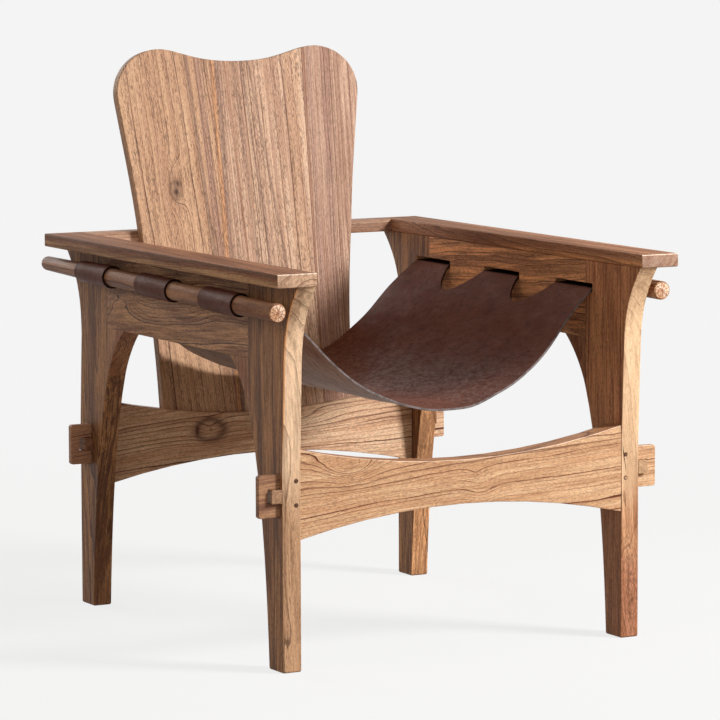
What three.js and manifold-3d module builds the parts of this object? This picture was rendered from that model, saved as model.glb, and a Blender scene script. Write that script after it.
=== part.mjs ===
// Lounge chair with a leather sling: two plank side frames, two wedged stretchers, a back of three
// boards with a butterfly top, and a leather seat that hangs from two round rods outside the frames.
// Millimetres, +Z up, the sitter looks along -Y, and the origin is on the floor under the chair.
import * as THREE from "three";
import { mergeVertices } from "three/addons/utils/BufferGeometryUtils.js";
import Module from "manifold-3d";

// Overall sizes
const seatClear = 540; // clear width between the two side frames
const plank = 30; // thickness of the legs, aprons and knee brackets
const armTop = 580; // height of the armrests above the floor
const armThick = 20;
const armWide = 64;
const armPast = 54; // beyond the legs' straight outer edges, at each end
const armRound = 2.5; // easing along the armrests' edges

// Fits
const fit = 0.3; // gap around a glued tenon, a peg or a sliding wedge
const overrun = 20; // how far a cutting tool runs past the wood

// Legs: sawn from plank, straight outside, curved inside, flared out under the armrest
const legSpread = 684; // over the straight outer edges of a front and a rear leg
const footDeep = 43; // depth of a leg at the floor
const shoulderSpread = 476; // between the legs' straight upper inner edges
const kneeHeight = 369; // where a knee bracket ends on the leg
const flareTall = 130;
const flareOut = 50;
const rearHollow = 7; // the rear leg's outer edge is drawn in below its flare
const frontFull = 5; // and the front leg's stands out there
const hollowLow = 300; // where both begin
const innerShares = [[0.6, 0.24], [0.88, 0.62]]; // handles of the inner curve: run, drop
const flareShares = [[0.02, 0.46], [0.3, 0.7]]; // handles of the flare: run, rise
const stubThick = 12; // tenon on top of each leg, let into the armrest
const stubSet = 42; // from the leg's upper inner edge
const stubPast = 8; // beyond the leg's straight outer edge
const stubTall = 12;

// Aprons and knee brackets
const apronTall = 116;
const apronTenonLong = 25;
const apronTenonTall = 50;
const apronTenonThick = 12;
const apronTenonRise = 11; // above the apron's lower edge
const bracketReach = 58; // along the apron
const bracketShares = [[0.45, 0.27], [0.83, 0.67]]; // handles of the bracket's curve: run, drop

// Slots for the leather, cut through the aprons and a little into the legs
const slotLong = 107;
const slotPitch = 215;
const slotTall = 12.3;
const slotDrop = 34; // from the underside of the armrest to the top of a slot
const slingSet = 11; // the seat hangs this far behind the middle of the legs

// Stretchers, waisted, with through tenons locked by wedges
const railMid = 256.5; // height of their middle line
const railWaist = 65;
const railEnd = 130;
const railThick = 34;
const frontRailSet = 1; // from the outer edges of the legs
const rearRailSet = 11;
const tenonTall = 62;
const tenonThick = 10;
const tenonSet = 6; // from the stretcher's front face
const tenonOut = 34; // past the outside of the legs
const tenonRound = 2.5;

// Wedges through the tenons, and pegs that pin the tenons in the legs
const wedgeTall = 20;
const wedgeHead = 15.5;
const wedgeTip = 13;
const wedgeLong = 47; // driven in from outside, flush with the leg's straight outer edge
const wedgeRoom = 19.5; // from the leg's outside to the far end of the mortise
const wedgeDraw = 3; // the mortise reaches this far inside the leg's outer face
const pegRadius = 2.75;
const pegInset = 7.3; // from the leg's inner face
const pegGap = 35; // between the two pegs of a leg
const pegRise = 3; // their middle above the stretcher's middle line
const pegPast = 5; // beyond the tenon

// Back: boards glued edge to edge, standing in a groove of the rear stretcher
const backLean = THREE.MathUtils.degToRad(7.4);
const backThick = 17;
const backRise = 297; // from the crossbar's mid height up to the horns
const hornSpread = 276;
const backWide = 430;
const hornDrop = 70; // from the horns down to the widest level
const valleyDrop = 22;
const armLevelWide = 374;
const footWide = 340;
const grooveDeep = 10; // at the middle of the stretcher
const firstJoint = -44; // glue lines between the boards, from the middle
const secondJoint = 115;
const valleyShares = [0.58, 0.76];
const sideShares = [[0, 0.08], [0.71, 0.54]]; // handles of the side curve: run, drop
const lowerShares = [1.06, 0.445]; // handle of the curve below the arms: run, drop

// Crossbar between the armrests, with its dowel pins and the screws that hold the back
const crossbarWide = 33; // at mid height, flush with the armrests' rear ends
const pinRadius = 3;
const pinLong = 36;
const pinGap = 14;
const screwSpread = 200;
const screwRadius = 2.2;
const screwHead = 4.5;
const screwBite = 10; // length in the boards

// Round rods outside the frames
const rodRadius = 14;
const rodTail = 11; // radius at the rear end
const rodTaper = 240; // length over which the rod thins towards its rear end
const rodFrontSet = 24; // its front end, behind the armrest's
const rodRearPast = 22; // its rear end, past the armrest's
const rodOut = 21; // its axis from the outside of the frame
const rodDrop = 57; // its axis at the front end, below the armrest's top
const rodRise = 8.5; // the rear end lies this much higher
const rodFrontEase = 1.5;
const rodRearEase = 7;

// Leather
const leather = 3.4;
const rodGap = 0.4; // between a rod and the leather loop round it
const tabEase = 1; // gap at each end of a tab in its slot
const sag = 162; // of the sheet below the slots
const spanShares = [0, 1 / 6, 2 / 6, 3 / 6, 4 / 6, 5 / 6, 1];
const sagShares = [0, 0.021, 0.11, 0.244, 0.463, 0.761, 1];
const frontBow = 34; // the front edge bows forward at mid span
const rearBow = 21;
const cutDeep = 39; // of the round cuts between the tabs
const cutShares = [[0.52, 0.81], [1, 0.4]]; // handles of a cut's curve: depth, half width

// Sizes worked out from those above
const half = seatClear / 2;
const outside = half + plank;
const armLow = armTop - armThick;
const armMid = armTop - armThick / 2;
const legOuter = legSpread / 2;
const armEdge = legOuter + armPast;
const backFront = armEdge - crossbarWide - backThick / Math.cos(backLean);
const shoulder = shoulderSpread / 2;
const apronLow = armLow - apronTall;
const slotTop = armLow - slotDrop;
const slotLow = slotTop - slotTall;
const rodAcross = outside + rodOut;
const rodFront = armEdge - rodFrontSet;
const rodRear = armEdge + rodRearPast;
const rodLong = rodFront + rodRear;
const rodTilt = Math.asin(rodRise / rodLong);
const tabLow = slotLow + fit;
const tabTop = tabLow + leather * 2;
const tabSpan = slotLong / 2 - tabEase;
const slotCentres = [-slotPitch, 0, slotPitch].map((y) => y + slingSet);

// The two stretchers, in distances from the middle of the legs towards their own end
function rail(end, set) {
  const outerFace = legOuter - set;
  const innerFace = outerFace - railThick;
  const tenonOuter = end > 0 ? innerFace + tenonSet + tenonThick : outerFace - tenonSet;
  return { end, outerFace, innerFace, tenonOuter, tenonInner: tenonOuter - tenonThick };
}

const rails = { front: rail(-1, frontRailSet), rear: rail(1, rearRailSet) };

const wasm = await Module();
wasm.setup();

// Solids

function solid(geometry) {
  const bare = geometry.clone();
  bare.deleteAttribute("normal");
  bare.deleteAttribute("uv");
  const merged = mergeVertices(bare);
  return new wasm.Manifold(
    new wasm.Mesh({
      numProp: 3,
      vertProperties: Float32Array.from(merged.attributes.position.array),
      triVerts: Uint32Array.from(merged.index.array),
    }),
  );
}

function joined(parts) {
  return parts.reduce((whole, part) => whole.add(part));
}

function cut(body, tools) {
  return tools.reduce((whole, tool) => whole.subtract(tool), body);
}

function box(xs, ys, zs) {
  const span = ([low, high]) => Math.abs(high - low);
  const mid = ([low, high]) => (low + high) / 2;
  const geometry = new THREE.BoxGeometry(span(xs), span(ys), span(zs));
  return solid(geometry.translate(mid(xs), mid(ys), mid(zs)));
}

function extruded(shape, depth) {
  return new THREE.ExtrudeGeometry(shape, { depth, bevelEnabled: false, curveSegments: 10 });
}

// A side view, drawn in y and z, given a thickness in x.
function sideways(shape, low, high) {
  const turn = new THREE.Matrix4().makeBasis(
    new THREE.Vector3(0, 1, 0),
    new THREE.Vector3(0, 0, 1),
    new THREE.Vector3(1, 0, 0),
  );
  return solid(extruded(shape, high - low).applyMatrix4(turn).translate(low, 0, 0));
}

// A front view, drawn in x and z, given a depth in y.
function frontways(shape, low, high) {
  const turn = new THREE.Matrix4().makeBasis(
    new THREE.Vector3(1, 0, 0),
    new THREE.Vector3(0, 0, 1),
    new THREE.Vector3(0, -1, 0),
  );
  return solid(extruded(shape, high - low).applyMatrix4(turn).translate(0, high, 0));
}

// A plan, drawn in x and y, given a height in z.
function upright(shape, low, high) {
  return solid(extruded(shape, high - low).translate(0, 0, low));
}

function polygon(points) {
  return new THREE.Shape(points.map(([u, v]) => new THREE.Vector2(u, v)));
}

function rodAlongY(radius, x, [low, high], z, sides = 12) {
  const geometry = new THREE.CylinderGeometry(radius, radius, high - low, sides);
  return solid(geometry.translate(x, (low + high) / 2, z));
}

function rodAlongX(radius, [low, high], y, z, sides = 12) {
  const geometry = new THREE.CylinderGeometry(radius, radius, high - low, sides);
  return solid(geometry.rotateZ(Math.PI / 2).translate((low + high) / 2, y, z));
}

function finish(name, body, material) {
  const { vertProperties, triVerts } = body.getMesh();
  const geometry = new THREE.BufferGeometry();
  geometry.setAttribute("position", new THREE.BufferAttribute(vertProperties, 3));
  geometry.setIndex(new THREE.BufferAttribute(triVerts, 1));
  geometry.computeVertexNormals();
  const mesh = new THREE.Mesh(geometry, material);
  mesh.name = name;
  return mesh;
}

function wood(color, roughness = 0.55) {
  return new THREE.MeshStandardMaterial({ color, roughness, metalness: 0 });
}

const heartwood = 0x8a5f41;
const honeywood = 0xc2915f;
const palewood = 0xd9b384;

// The ordered x range of a layer on one side, from its inner and outer distance to the middle.
function layer(side, inner, outer) {
  return side > 0 ? [inner, outer] : [-outer, -inner];
}

function sideName(side) {
  return side > 0 ? "right" : "left";
}

// Cuts shared by the pieces that meet at a joint

function slotCuts(side) {
  const xs = layer(side, half - overrun, outside + overrun);
  return slotCentres.map((y) => box(xs, [y - slotLong / 2, y + slotLong / 2], [slotLow, slotTop]));
}

function pegPlace(side, index) {
  return {
    x: side * (half + pegInset),
    z: railMid + pegRise + (index - 0.5) * pegGap,
  };
}

function pegReach(rail) {
  const ends = [rail.tenonInner - pegPast, legOuter];
  return rail.end > 0 ? ends : [-ends[1], -ends[0]];
}

function pegHoles(side, rail) {
  const [low, high] = pegReach(rail);
  const ys = rail.end > 0 ? [low - fit, high + overrun] : [low - overrun, high + fit];
  return [0, 1].map((index) => {
    const { x, z } = pegPlace(side, index);
    return rodAlongY(pegRadius + fit, x, ys, z);
  });
}

function railBand(rail, inner, outer) {
  return rail.end > 0 ? [inner, outer] : [-outer, -inner];
}

// Legs

function legShape(end) {
  const foot = legOuter - footDeep;
  const waist = legOuter + (end > 0 ? -rearHollow : frontFull);
  const flareLow = armLow - flareTall;
  const run = foot - shoulder;
  const inner = innerShares.map(([r, d]) => [end * (shoulder + r * run), kneeHeight * (1 - d)]);
  const flareWide = legOuter + flareOut - waist;
  const flare = flareShares.map(([r, h]) => [end * (waist + r * flareWide), flareLow + h * flareTall]);
  const shape = new THREE.Shape();
  shape.moveTo(end * foot, 0);
  shape.lineTo(end * legOuter, 0);
  shape.lineTo(end * legOuter, hollowLow);
  shape.lineTo(end * waist, flareLow);
  shape.bezierCurveTo(...flare[0], ...flare[1], end * (legOuter + flareOut), armLow);
  shape.lineTo(end * shoulder, armLow);
  shape.lineTo(end * shoulder, kneeHeight);
  shape.bezierCurveTo(...inner[0], ...inner[1], end * foot, 0);
  return shape;
}

function stubBox(side, end, gap) {
  const x = side * (half + plank / 2);
  const across = stubThick / 2 + gap;
  const reach = [end * (shoulder + stubSet - gap), end * (legOuter + stubPast + gap)];
  return box([x - across, x + across], reach, [armLow - gap, armLow + stubTall + gap]);
}

function apronTenon(side, end, gap) {
  const x = side * (half + plank / 2);
  const across = apronTenonThick / 2 + gap;
  const low = apronLow + apronTenonRise;
  const reach = [end * (shoulder - gap), end * (shoulder + apronTenonLong + gap)];
  return box([x - across, x + across], reach, [low - gap, low + apronTenonTall + gap]);
}

function railTenon(side, rail, gap) {
  const reach = layer(side, half - gap, outside + tenonOut);
  const thick = railBand(rail, rail.tenonInner - gap, rail.tenonOuter + gap);
  const tall = tenonTall / 2 + gap;
  return box(reach, thick, [railMid - tall, railMid + tall]);
}

function leg(side, rail) {
  const xs = layer(side, half, outside);
  const body = sideways(legShape(rail.end), ...xs).add(stubBox(side, rail.end, 0));
  return cut(body, [
    railTenon(side, rail, fit),
    apronTenon(side, rail.end, fit),
    ...slotCuts(side),
    ...pegHoles(side, rail),
  ]);
}

// Aprons and knee brackets

function apron(side) {
  const xs = layer(side, half, outside);
  const board = box(xs, [-shoulder, shoulder], [apronLow, armLow]);
  return cut(joined([board, apronTenon(side, -1, 0), apronTenon(side, 1, 0)]), slotCuts(side));
}

function bracket(side, end) {
  const tip = shoulder - bracketReach;
  const drop = apronLow - kneeHeight;
  const handles = bracketShares.map(([r, d]) => [end * (tip + r * bracketReach), apronLow - d * drop]);
  const shape = new THREE.Shape();
  shape.moveTo(end * tip, apronLow);
  shape.bezierCurveTo(...handles[0], ...handles[1], end * shoulder, kneeHeight);
  shape.lineTo(end * shoulder, apronLow);
  return sideways(shape, ...layer(side, half, outside));
}

// Armrests and crossbar

function pinPlaces(side) {
  const middle = (backRear(armMid) + armEdge) / 2;
  const reach = layer(side, half - pinLong / 2, half + pinLong / 2);
  return [-1, 1].map((step) => ({ reach, y: middle + (step * pinGap) / 2 }));
}

function pinHoles(side) {
  return pinPlaces(side).map(({ reach: [low, high], y }) =>
    rodAlongX(pinRadius + fit, [low - fit, high + fit], y, armMid),
  );
}

function armrest(side) {
  const [low, high] = layer(side, half, half + armWide);
  const section = polygon([
    [low + armRound, armLow],
    [high - armRound, armLow],
    [high, armLow + armRound],
    [high, armTop - armRound],
    [high - armRound, armTop],
    [low + armRound, armTop],
    [low, armTop - armRound],
    [low, armLow + armRound],
  ]);
  const body = frontways(section, -armEdge, armEdge);
  return cut(body, [stubBox(side, -1, fit), stubBox(side, 1, fit), ...pinHoles(side)]);
}

function crossbar() {
  const shape = polygon([
    [backRear(armLow) + fit, armLow],
    [armEdge, armLow],
    [armEdge, armTop],
    [backRear(armTop) + fit, armTop],
  ]);
  const holes = [-1, 1].map((side) => screw(side, fit));
  return cut(sideways(shape, -half, half), [...pinHoles(-1), ...pinHoles(1), ...holes]);
}

// Back

function backFace(z) {
  return backFront + (z - armMid) * Math.tan(backLean);
}

function backRear(z) {
  return backFace(z) + backThick / Math.cos(backLean);
}

// Outline of half the back; v runs up the slope from the crossbar's mid height.
function backShape() {
  const low = (railMid + railWaist / 2 - grooveDeep - armMid) / Math.cos(backLean);
  const wideAt = backRise - hornDrop;
  const wide = backWide / 2;
  const peak = hornSpread / 2;
  const arm = armLevelWide / 2;
  const foot = footWide / 2;
  const side = sideShares.map(([r, d]) => [wide - r * (wide - arm), wideAt * (1 - d)]);
  const lower = [arm - lowerShares[0] * (arm - foot), low * lowerShares[1]];
  const valley = backRise - valleyDrop;
  const shape = new THREE.Shape();
  shape.moveTo(-foot, low);
  shape.lineTo(foot, low);
  shape.quadraticCurveTo(...lower, arm, 0);
  shape.bezierCurveTo(side[1][0], side[1][1], side[0][0], side[0][1], wide, wideAt);
  shape.absellipse(peak, wideAt, wide - peak, hornDrop, 0, Math.PI / 2, false, 0);
  shape.bezierCurveTo(peak * valleyShares[1], backRise, peak * valleyShares[0], valley, 0, valley);
  shape.bezierCurveTo(-peak * valleyShares[0], valley, -peak * valleyShares[1], backRise, -peak, backRise);
  shape.absellipse(-peak, wideAt, wide - peak, hornDrop, Math.PI / 2, Math.PI, false, 0);
  shape.bezierCurveTo(-side[0][0], side[0][1], -side[1][0], side[1][1], -arm, 0);
  shape.quadraticCurveTo(-lower[0], lower[1], -foot, low);
  return shape;
}

// The whole back, thicker and wider all round by the gap.
function backBoard(gap) {
  const geometry = extruded(backShape(), backThick + gap * 2);
  geometry.scale(1 + (gap * 2) / footWide, 1, 1);
  geometry.translate(0, -gap, -gap - backThick);
  geometry.rotateX(Math.PI / 2 - backLean);
  return solid(geometry.translate(0, backFront, armMid));
}

function screwProfile(gap) {
  const bite = backRear(armMid) - screwBite - gap;
  const neck = armEdge - screwHead;
  return [
    [0, bite],
    [screwRadius + gap, bite],
    [screwRadius + gap, neck],
    [screwHead + gap, armEdge],
    [0, armEdge],
  ].map(([r, y]) => new THREE.Vector2(r, y));
}

function screw(side, gap) {
  const lathe = new THREE.LatheGeometry(screwProfile(gap), 12);
  return solid(lathe.translate((side * screwSpread) / 2, 0, armMid));
}

function boards() {
  const holes = [-1, 1].map((side) => screw(side, fit));
  const whole = cut(backBoard(0), holes);
  const edge = backWide / 2 + overrun;
  const bands = [
    ["left", -edge, firstJoint],
    ["middle", firstJoint, secondJoint],
    ["right", secondJoint, edge],
  ];
  return bands.map(([place, low, high]) => {
    const band = box([low, high], [0, backFront * 2], [0, armTop * 2]);
    return finish(`back_board_${place}`, whole.intersect(band), wood(0xa9744c));
  });
}

// Stretchers

function railShape() {
  const waist = railWaist / 2;
  const end = railEnd / 2;
  const shape = new THREE.Shape();
  shape.moveTo(-half, railMid - end);
  shape.quadraticCurveTo(0, railMid - waist * 2 + end, half, railMid - end);
  shape.lineTo(half, railMid + end);
  shape.quadraticCurveTo(0, railMid + waist * 2 - end, -half, railMid + end);
  return shape;
}

function tenonShape() {
  const reach = outside + tenonOut;
  const low = railMid - tenonTall / 2;
  const high = railMid + tenonTall / 2;
  const round = tenonRound;
  const shape = new THREE.Shape();
  shape.moveTo(-reach + round, low);
  shape.lineTo(reach - round, low);
  shape.lineTo(reach, low + round);
  shape.lineTo(reach, high - round);
  shape.lineTo(reach - round, high);
  shape.lineTo(-reach + round, high);
  shape.lineTo(-reach, high - round);
  shape.lineTo(-reach, low + round);
  return shape;
}

function wedgeMortise(side, rail) {
  const xs = layer(side, outside - wedgeDraw, outside + wedgeRoom);
  const ys = railBand(rail, rail.tenonInner - overrun, rail.tenonOuter + overrun);
  const tall = wedgeTall / 2 + fit;
  return box(xs, ys, [railMid - tall, railMid + tall]);
}

function stretcher(rail) {
  const body = frontways(railShape(), ...railBand(rail, rail.innerFace, rail.outerFace));
  const tenon = frontways(tenonShape(), ...railBand(rail, rail.tenonInner, rail.tenonOuter));
  const cuts = [-1, 1].flatMap((side) => [wedgeMortise(side, rail), ...pegHoles(side, rail)]);
  return cut(body.add(tenon), cuts);
}

function wedge(side, rail) {
  const flat = outside + fit;
  const inner = legOuter - wedgeLong;
  const plan = [
    [flat, inner],
    [flat + wedgeTip, inner],
    [flat + wedgeHead, legOuter],
    [flat, legOuter],
  ].map(([x, y]) => [side * x, rail.end * y]);
  return upright(polygon(plan), railMid - wedgeTall / 2, railMid + wedgeTall / 2);
}

function pegs(side, rail) {
  const ys = pegReach(rail);
  return [0, 1].map((index) => {
    const { x, z } = pegPlace(side, index);
    return rodAlongY(pegRadius, x, ys, z);
  });
}

// Rods

// The rod stands away from its true surface by the gap; its front end is the origin.
function rodProfile(gap) {
  return [
    [0, -gap],
    [rodRadius - rodFrontEase + gap, -gap],
    [rodRadius + gap, rodFrontEase],
    [rodRadius + gap, rodLong - rodTaper],
    [rodTail + gap, rodLong - rodRearEase],
    [rodTail - rodRearEase / 3 + gap, rodLong - rodRearEase / 3],
    [rodTail - rodRearEase + gap, rodLong + gap],
    [0, rodLong + gap],
  ].map(([r, y]) => new THREE.Vector2(r, y));
}

function rod(side, gap) {
  const lathe = new THREE.LatheGeometry(rodProfile(gap), 24).rotateX(rodTilt);
  return solid(lathe.translate(side * rodAcross, -rodFront, armTop - rodDrop));
}

function rodHeight(y) {
  return armTop - rodDrop + (y + rodFront) * Math.tan(rodTilt);
}

function rodRadiusAt(y) {
  const thinned = Math.max(0, y + rodFront - (rodLong - rodTaper)) / rodTaper;
  return rodRadius - (rodRadius - rodTail) * thinned;
}

// Leather sling

// The sheet's middle line in front view, from slot to slot.
function slingLine() {
  const top = tabTop - leather / 2;
  const rightHalf = spanShares.map((share, i) => [share * half, top - sag * (1 - sagShares[i])]);
  const leftHalf = rightHalf.slice(1).reverse().map(([x, z]) => [-x, z]);
  const nodes = [...leftHalf, ...rightHalf].map(([x, z]) => new THREE.Vector2(x, z));
  return new THREE.SplineCurve(nodes).getPoints(44);
}

function slingSection() {
  const line = slingLine();
  const into = new THREE.Vector2(plank / 2, 0);
  const path = [line[0].clone().sub(into), ...line, line[line.length - 1].clone().add(into)];
  const offset = (side) =>
    path.map((point, i) => {
      const before = path[Math.max(i - 1, 0)];
      const after = path[Math.min(i + 1, path.length - 1)];
      const way = after.clone().sub(before).normalize();
      const out = new THREE.Vector2(-way.y, way.x).multiplyScalar((side * leather) / 2);
      return [point.x + out.x, point.y + out.y];
    });
  return polygon([...offset(-1), ...offset(1).reverse()]);
}

// The doubled tab in front view, from inside the slot to where it meets the rod's loop.
function tabSection(side, y) {
  const centre = new THREE.Vector2(rodAcross, rodHeight(y));
  const radius = rodRadiusAt(y) + rodGap + leather;
  const tangent = (z, turn) => {
    const root = new THREE.Vector2(outside, z);
    const away = root.clone().sub(centre);
    const angle = away.angle() + turn * Math.acos(radius / away.length());
    return [centre.x + radius * Math.cos(angle), centre.y + radius * Math.sin(angle)];
  };
  const outline = [
    [half + leather, tabLow],
    [outside, tabLow],
    tangent(tabLow, 1),
    [centre.x, centre.y],
    tangent(tabTop, -1),
    [outside, tabTop],
    [half + leather, tabTop],
  ];
  return polygon(outline.map(([x, z]) => [side * x, z]));
}

// One side's three tabs, each drawn through its slot and round the rod.
function loops(side) {
  const jacket = rod(side, rodGap + leather);
  const xs = layer(side, half, rodAcross + rodRadius + overrun);
  const tabs = slotCentres.map((y) => {
    const ys = [y - tabSpan, y + tabSpan];
    const sleeve = jacket.intersect(box(xs, ys, [0, armTop]));
    return sleeve.add(frontways(tabSection(side, y), ...ys));
  });
  return joined(tabs).subtract(rod(side, rodGap));
}

// Plan of the sheet with its six tabs and the round cuts between them.
function slingPlan() {
  const reach = rodAcross + rodRadius + overrun;
  const front = slotCentres[0] - tabSpan;
  const rear = slotCentres[2] + tabSpan;
  const root = half - leather;
  const shape = new THREE.Shape();
  const bow = (edge, depth, way) => {
    const pull = edge + depth * 2;
    shape.quadraticCurveTo(0, pull, way * root, edge);
  };
  const cutBetween = (side, from, to) => {
    const middle = (from + to) / 2;
    const wide = (to - from) / 2;
    const handle = ([d, w], way) => [side * (half - d * cutDeep), middle + way * w * wide];
    const bottom = [side * (half - cutDeep), middle];
    shape.lineTo(side * half, from);
    shape.bezierCurveTo(...handle(cutShares[0], -1), ...handle(cutShares[1], -1), ...bottom);
    shape.bezierCurveTo(...handle(cutShares[1], 1), ...handle(cutShares[0], 1), side * half, to);
  };
  shape.moveTo(-root, front);
  bow(front, -frontBow, 1);
  shape.lineTo(reach, front);
  shape.lineTo(reach, slotCentres[0] + tabSpan);
  cutBetween(1, slotCentres[0] + tabSpan, slotCentres[1] - tabSpan);
  shape.lineTo(reach, slotCentres[1] - tabSpan);
  shape.lineTo(reach, slotCentres[1] + tabSpan);
  cutBetween(1, slotCentres[1] + tabSpan, slotCentres[2] - tabSpan);
  shape.lineTo(reach, slotCentres[2] - tabSpan);
  shape.lineTo(reach, rear);
  shape.lineTo(root, rear);
  bow(rear, rearBow, -1);
  shape.lineTo(-reach, rear);
  shape.lineTo(-reach, slotCentres[2] - tabSpan);
  cutBetween(-1, slotCentres[2] - tabSpan, slotCentres[1] + tabSpan);
  shape.lineTo(-reach, slotCentres[1] + tabSpan);
  shape.lineTo(-reach, slotCentres[1] - tabSpan);
  cutBetween(-1, slotCentres[1] - tabSpan, slotCentres[0] + tabSpan);
  shape.lineTo(-reach, slotCentres[0] + tabSpan);
  shape.lineTo(-reach, front);
  return shape;
}

function sling() {
  const low = slotCentres[0] - tabSpan - frontBow - overrun;
  const high = slotCentres[2] + tabSpan + rearBow + overrun;
  const sheet = frontways(slingSection(), low, high).intersect(upright(slingPlan(), 0, armTop));
  return joined([sheet, loops(-1), loops(1)]);
}

// Assembly

const chair = new THREE.Group();
chair.position.y = -(rodRear - armEdge) / 2;

for (const side of [-1, 1]) {
  const frame = new THREE.Group();
  const where = sideName(side);
  for (const [place, rail] of Object.entries(rails)) {
    frame.add(finish(`${place}_${where}_leg`, leg(side, rail), wood(rail.end < 0 ? palewood : heartwood)));
    frame.add(finish(`${place}_${where}_knee_bracket`, bracket(side, rail.end), wood(heartwood)));
    frame.add(finish(`${place}_${where}_wedge`, wedge(side, rail), wood(palewood)));
    pegs(side, rail).forEach((body, index) => {
      frame.add(finish(`${place}_${where}_peg_${index + 1}`, body, wood(heartwood)));
    });
  }
  pinPlaces(side).forEach(({ reach, y }, index) => {
    const pin = rodAlongX(pinRadius, reach, y, armMid);
    frame.add(finish(`${where}_crossbar_pin_${index + 1}`, pin, wood(palewood)));
  });
  frame.add(finish(`${where}_apron`, apron(side), wood(heartwood)));
  frame.add(finish(`${where}_armrest`, armrest(side), wood(heartwood)));
  frame.add(finish(`${where}_rod`, rod(side, 0), wood(honeywood)));
  chair.add(frame);
}

const backGroup = new THREE.Group();
backGroup.add(...boards());
backGroup.add(finish("crossbar", crossbar(), wood(heartwood)));
for (const side of [-1, 1]) {
  const steel = new THREE.MeshStandardMaterial({ color: 0xb8b8b4, roughness: 0.35, metalness: 1 });
  backGroup.add(finish(`back_screw_${sideName(side)}`, screw(side, 0), steel));
}
chair.add(backGroup);

chair.add(finish("front_stretcher", stretcher(rails.front), wood(honeywood)));
chair.add(finish("rear_stretcher", cut(stretcher(rails.rear), [backBoard(fit)]), wood(honeywood)));

const hide = new THREE.MeshStandardMaterial({ color: 0x3c231b, roughness: 0.5, metalness: 0 });
chair.add(finish("leather_sling", sling(), hide));

export default chair;
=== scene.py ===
import bmesh
import bpy
import numpy as np
from mathutils import Matrix, Vector


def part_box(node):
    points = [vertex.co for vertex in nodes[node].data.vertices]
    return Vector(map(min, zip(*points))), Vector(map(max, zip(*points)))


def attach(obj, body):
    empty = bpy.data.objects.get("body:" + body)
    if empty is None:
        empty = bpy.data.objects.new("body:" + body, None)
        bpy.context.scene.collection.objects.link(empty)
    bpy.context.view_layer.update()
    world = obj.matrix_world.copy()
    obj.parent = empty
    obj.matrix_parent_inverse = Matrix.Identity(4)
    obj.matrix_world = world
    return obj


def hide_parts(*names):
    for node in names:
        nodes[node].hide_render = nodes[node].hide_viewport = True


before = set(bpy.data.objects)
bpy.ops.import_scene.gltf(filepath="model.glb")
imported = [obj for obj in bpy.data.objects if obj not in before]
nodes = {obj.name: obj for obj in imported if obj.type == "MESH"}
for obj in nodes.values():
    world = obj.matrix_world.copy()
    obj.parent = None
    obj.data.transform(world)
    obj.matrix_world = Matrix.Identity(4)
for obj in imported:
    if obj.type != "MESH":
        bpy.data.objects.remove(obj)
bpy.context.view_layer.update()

# The studio
# A wide pale floor under a pale sky, with one soft lamp high at the front right and weak ones on the other
# sides. The camera stands at the photograph's viewpoint with a long lens. All of it is stage, not chair.


class Value:
    """A number, colour or vector in a material. Sums, products and powers of it add Math nodes."""

    def __init__(self, finish, socket):
        self.finish, self.socket = finish, socket

    def math(self, operation, *terms):
        return self.finish.node("Math", {"operation": operation}, dict(enumerate(terms)))

    def __add__(self, other):
        return self.math("ADD", self, other)

    def __sub__(self, other):
        return self.math("SUBTRACT", self, other)

    def __rsub__(self, other):
        return self.math("SUBTRACT", other, self)

    def __mul__(self, other):
        return self.math("MULTIPLY", self, other)

    def __truediv__(self, other):
        return self.math("DIVIDE", self, other)

    def __pow__(self, other):
        return self.math("POWER", self, other)

    def __rpow__(self, other):
        return self.math("POWER", other, self)

    def __neg__(self):
        return self.math("MULTIPLY", self, -1.0)

    def __abs__(self):
        return self.math("ABSOLUTE", self)

    __radd__, __rmul__ = __add__, __mul__


class Finish:
    """A material of nodes. node() adds one of any type, with its settings first and then its sockets."""

    def __init__(self, owner):
        self.owner = owner
        owner.use_nodes = True
        self.tree = owner.node_tree

    def node(self, kind, settings=None, sockets=None, out=0):
        made = self.tree.nodes.new("ShaderNode" + kind)
        for key, value in (settings or {}).items():
            setattr(made, key, value)
        self.feed(made.inputs, sockets or {})
        return Value(self, made.outputs[out])

    def feed(self, inputs, sockets):
        """Links a node's inputs to values, or sets them to plain numbers and colours."""
        for key, value in sockets.items():
            if isinstance(value, Value):
                self.tree.links.new(value.socket, inputs[key])
            elif inputs[key].type == "RGBA":
                inputs[key].default_value = (*value, 1.0)
            else:
                inputs[key].default_value = value

    def vector(self, operation, *terms, out=0):
        """Vector maths. Output 1 is the number that a length or a dot product gives."""
        return self.node("VectorMath", {"operation": operation}, dict(enumerate(terms)), out)


def shade(red, green, blue):
    """A colour as seen on screen, 0 to 255, as the linear numbers that a socket takes."""
    share = np.array([red, green, blue]) / 255
    return tuple(np.where(share < 0.04045, share / 12.92, ((share + 0.055) / 1.055) ** 2.4))


def placed(name, data):
    """An object of a mesh, lamp or camera, in the scene."""
    made = bpy.data.objects.new(name, data)
    scene.collection.objects.link(made)
    return made


def background_rays(finish):
    """1 for rays that show the background itself, straight or by way of metal or glass, and 0 for others."""
    ray = finish.node("LightPath")
    kinds = ray.socket.node.outputs
    return ray + Value(finish, kinds["Is Glossy Ray"]) + Value(finish, kinds["Is Transmission Ray"])


background = shade(244, 244, 244)
sky_tint, sky_light = (1.0, 0.88, 0.76), 0.14
scene = bpy.context.scene
scene.view_settings.view_transform = "Standard"

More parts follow.
